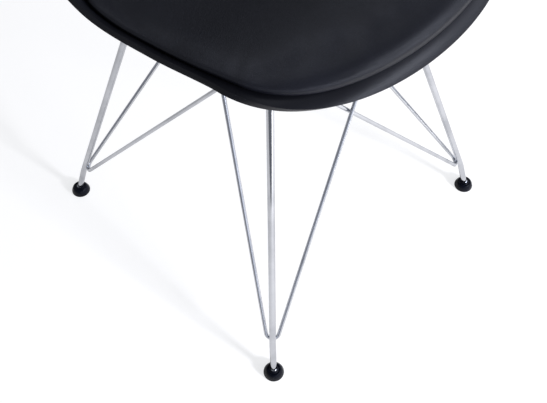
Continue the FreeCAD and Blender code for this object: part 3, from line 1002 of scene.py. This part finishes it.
@dataclass
class WeldSeams:
    """Small beads of weld where two rods, or a rod and a strap, touch."""

    finish: Material
    search: float = 4 * MM
    reach: float = 0.35 * MM
    apart: float = 16.0 * MM
    radius: float = 2.1 * MM
    shortest: float = 3.2 * MM
    longest: float = 7.0 * MM
    ripple: float = 0.06
    ripple_pitch: float = 900.0
    ripple_shift: float = 50.0

    def touching(self, first: Object, second: Object) -> list[list[Vector]]:
        """Groups of the first node's points that lie on or in the second node."""
        tree = BVHTree.FromObject(second, bpy.context.evaluated_depsgraph_get())
        groups: list[list[Vector]] = []
        for vertex in first.data.vertices:
            place, normal, *_ = tree.find_nearest(vertex.co, self.search)
            if place is None or (vertex.co - place).dot(normal) > self.reach:
                continue
            close = (group for group in groups if (group[0] - vertex.co).length < self.apart)
            near = next(close, None)
            if near is None:
                groups.append([vertex.co.copy()])
            else:
                near.append(vertex.co.copy())
        return groups

    def bead(self, points: list[Vector]) -> Object:
        """Bead round a group of points, drawn out along the direction in which they spread."""
        cloud = np.array(points)
        middle = cloud.mean(axis=0)
        spread = cloud - middle
        along = Vector(np.linalg.svd(spread)[2][0]) if len(points) > 2 else Vector((0, 0, 1))
        half = float(np.abs(spread @ np.array(along)).max()) if len(points) > 2 else 0.0
        half = max(self.shortest, min(self.longest, half + self.radius / 2))
        bpy.ops.mesh.primitive_uv_sphere_add(
            segments=20, ring_count=14, radius=self.radius, location=middle
        )
        bead = bpy.context.object
        bead.rotation_euler = along.to_track_quat("Z", "Y").to_euler()
        bead.scale = (1.0, 1.0, half / self.radius)
        for vertex in bead.data.vertices:
            place = vertex.co * self.ripple_pitch + Vector(middle) * self.ripple_shift
            vertex.co *= 1 + self.ripple * noise.noise(place)
        return bead

    def build(self, pairs: Iterable[tuple[Object, Object]]) -> Object:
        """Make one piece of all the beads between pairs of nodes."""
        beads = []
        for first, second in pairs:
            for group in self.touching(first, second):
                settle_selection()
                beads.append(self.bead(group))
        return dress(join(beads), "weld_seams", self.finish, CHAIR)


@dataclass
class Studio:
    """Pale floor, soft light and the camera at the photograph's angle.

    The room is dark but for a bright band, low past the chair's front, and two dim fields. Each
    reach is what a direction's share along the field's axis rises between.
    """

    camera_place: Point = (-0.4361992, -0.4763788, 0.9200313)
    camera_right: Point = (0.69926714, -0.71485704, 0.00220839)
    camera_up: Point = (0.60245284, 0.59097161, 0.53647287)
    camera_back: Point = (-0.3848065, -0.3738074, 0.84391468)
    focal_share: float = 748.855 / 547
    sensor_width: float = 36.0
    clip: Pair = (0.02, 50.0)
    aim: Point = (0.0, -0.05, 0.4)
    towards_camera: Point = (-0.717, -0.697, 0.0)
    floor_size: float = 14.0
    floor_gap: float = 0.2 * MM
    floor_end: Pair = (1.25, 1.4)
    paint: Colour = (0.87, 0.825, 0.75)
    glow: Colour = (0.975, 0.985, 1.0)
    glow_strength: float = 1.33
    glow_share: float = 0.56
    mirrored_share: float = 0.12
    room_level: float = 0.15
    band_rise: Pair = (-0.05, 0.22)
    band_fall: Pair = (0.66, 0.30)
    fields: tuple[tuple[Point, Pair, float], ...] = (
        ((0.42, -0.91, 0.0), (0.0, 0.85), 1.1),
        ((0.36, 0.34, 0.87), (0.86, 1.0), 0.30),
        ((-0.85, 0.35, 0.40), (0.4, 1.0), 0.12),
    )
    tone: Colour = (0.91, 0.955, 1.1)
    lamps: tuple[tuple[str, Point, Pair, float], ...] = (
        ("key", (0.31, -2.6, 1.05), (0.40, 0.30), 105.0),
        ("front", (0.8, -2.2, 1.55), (1.6, 0.4), 13.0),
        ("top", (1.15, 1.05, 2.9), (1.4, 1.4), 4.5),
    )

    def place_camera(self) -> None:
        """Put the camera where the photograph was taken from."""
        data = bpy.data.cameras.new("camera")
        data.sensor_width = self.sensor_width
        data.lens = self.focal_share * data.sensor_width
        data.clip_start, data.clip_end = self.clip
        camera = bpy.data.objects.new("camera", data)
        bpy.context.scene.collection.objects.link(camera)
        axes = Matrix((self.camera_right, self.camera_up, self.camera_back)).transposed()
        camera.matrix_world = Matrix.Translation(self.camera_place) @ axes.to_4x4()
        bpy.context.scene.camera = camera

    def lay_floor(self) -> None:
        """Pale floor that stays near white to the camera and carries the soft bluish shadow.

        Metal sees the floor's own shading, and the dark room past the floor's near end.
        """
        settle_selection()
        bpy.ops.mesh.primitive_plane_add(size=self.floor_size, location=(0, 0, -self.floor_gap))
        floor = bpy.context.object
        floor.name = "studio_floor"
        material, desk = new_desk("studio_floor")
        rays = desk.node("ShaderNodeLightPath").outputs
        seen, mirrored = Signal(desk, rays["Is Camera Ray"]), Signal(desk, rays["Is Glossy Ray"])
        near_end = desk.facing(desk.place(), self.towards_camera).between(*self.floor_end)
        share = self.glow_share * seen + self.mirrored_share * mirrored * (1 - near_end)
        paint = desk.node("ShaderNodeBsdfDiffuse", None, {"Color": self.paint}).outputs[0]
        sockets = {"Color": self.glow, "Strength": self.glow_strength}
        glow = desk.node("ShaderNodeEmission", None, sockets).outputs[0]
        shaded = desk.node("ShaderNodeMixShader", None, {0: share, 1: paint, 2: glow}).outputs[0]
        sockets = {"Color": self.tone, "Strength": self.room_level}
        room = desk.node("ShaderNodeEmission", None, sockets).outputs[0]
        sockets = {0: near_end * mirrored, 1: shaded, 2: room}
        ended = desk.node("ShaderNodeMixShader", None, sockets).outputs[0]
        desk.node("ShaderNodeOutputMaterial", None, {"Surface": ended})
        floor.data.materials.append(material)

    def hang_lamps(self) -> None:
        """Soft boxes aimed at the seat. The key lamp only casts light and isn't mirrored."""
        for name, place, size, power in self.lamps:
            data = bpy.data.lights.new(name, "AREA")
            data.shape = "RECTANGLE"
            data.size, data.size_y = size
            data.energy = power
            data.color = self.tone
            lamp = bpy.data.objects.new(name, data)
            bpy.context.scene.collection.objects.link(lamp)
            lamp.location = place
            lamp.visible_glossy = name != "key"
            aim = Vector(self.aim) - Vector(place)
            lamp.rotation_euler = aim.to_track_quat("-Z", "Y").to_euler()

    def light_room(self) -> None:
        """World that is white to the camera, with the fields that the pieces mirror."""
        world = bpy.data.worlds.new("studio")
        world.use_nodes = True
        bpy.context.scene.world = world
        desk = NodeDesk(world.node_tree)
        seen = Signal(desk, desk.node("ShaderNodeLightPath").outputs["Is Camera Ray"])
        direction = desk.node("ShaderNodeTexCoord").outputs["Generated"]
        front, above, dim = (
            strength * desk.facing(direction, axis).between(*reach)
            for axis, reach, strength in self.fields
        )
        lift = desk.facing(direction, (0.0, 0.0, 1.0))
        band = lift.between(*self.band_rise) * lift.between(*self.band_fall)
        level = self.room_level + front * band + above + dim
        sockets = {"Color": self.tone, "Strength": level + seen * (1 - level)}
        back = desk.node("ShaderNodeBackground", None, sockets)
        desk.node("ShaderNodeOutputWorld", None, {"Surface": back.outputs[0]})

    def build(self) -> None:
        """Set the whole stage."""
        self.lay_floor()
        self.hang_lamps()
        self.light_room()
        self.place_camera()
        bpy.context.scene.view_settings.view_transform = "Standard"


# ---- The chair ----

# Each end's name, with the places of its feet and of its screws along the chair
ENDS = (("front", -197.7, -98.0), ("rear", 197.7, 104.0))
HANDS = (("right", -1), ("left", 1))
FOOT_X = 200.0
STRAP_X = 43.0


def finish_cad_nodes(
    nodes: dict[str, Object], finishes: dict[str, Material]
) -> None:
    """Give each CAD node that stays its own finish.

    Args:
        nodes: The frame's nodes by name.
        finishes: Materials by a part of the node's name. The first that fits is taken.
    """
    for name, node in nodes.items():
        for word, material in finishes.items():
            if word in name:
                node.data.materials.clear()
                node.data.materials.append(material)
                break


def main() -> None:
    """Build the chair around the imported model."""
    logging.basicConfig(level=logging.INFO, format="%(message)s")
    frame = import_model()
    nodes = frame["nodes"]

    Studio().build()
    plastic = MouldedPlastic().material()
    leather = Leatherette().material()
    chrome = Chrome().material()
    steel = Steel().material()
    brass = Steel("insert_brass", (0.45, 0.30, 0.10), (0.75, 0.55, 0.22), 0.28).material()
    strap_steel = Steel("strap_chrome", (0.5, 0.51, 0.53), (0.72, 0.73, 0.75), 0.16).material()
    weld_metal = Steel("weld_chrome", (0.46, 0.47, 0.49), (0.68, 0.69, 0.71), 0.2).material()
    rubber = Rubber("buffer_rubber", (0.006, 0.006, 0.006), (0.02, 0.02, 0.02)).material()
    nylon = Rubber(
        "glide_nylon", (0.0008, 0.0014, 0.0040), (0.002, 0.003, 0.0068), roughness=0.24,
        tooth_depth=0.015 * MM, specular=0.2,
    ).material()
    foam = Rubber(
        "seat_foam", (0.55, 0.50, 0.38), (0.72, 0.68, 0.55), 0.9 * MM, 0.3 * MM, 0.9
    ).material()
    finish_cad_nodes(
        nodes,
        {
            "leg_frame": chrome,
            "brace": chrome,
            "strap": strap_steel,
            "insert": brass,
            "board": Plywood().material(),
            "foam": foam,
            "cover": leather,
            "shell": plastic,
            "spacer": rubber,
            "glide": nylon,
            "": steel,
        },
    )

    SeatPad(leather, SeatShell(plastic).build()).build()
    glide, buffer = Glide(nylon), Buffer(rubber)
    for end, foot_y, screw_y in ENDS:
        for hand, side in HANDS:
            corner = f"{end}_{hand}"
            glide.build(
                f"{corner}_glide_foot", f"{corner}_glide", f"{corner}_foot",
                side * FOOT_X * MM, foot_y * MM + CENTRE_SHIFT,
            )
            buffer.build(
                f"{corner}_buffer", f"{corner}_spacer",
                side * STRAP_X * MM, screw_y * MM + CENTRE_SHIFT,
            )

    strap = MountStrap(strap_steel)
    for hand, side in HANDS:
        strap.build(f"{hand}_strap", f"{hand}_mount_strap", side * STRAP_X * MM)
    bars = {end: nodes[f"{end}_leg_frame"] for end, *_ in ENDS}
    braces = {(end, hand): nodes[f"{end}_{hand}_brace"] for end, *_ in ENDS for hand, _ in HANDS}
    joints = [(brace, bar) for brace in braces.values() for bar in bars.values()]
    joints += [(nodes[f"{hand}_mount_strap"], bar) for hand, _ in HANDS for bar in bars.values()]
    WeldSeams(weld_metal).build(joints)


if __name__ == "__main__":
    main()
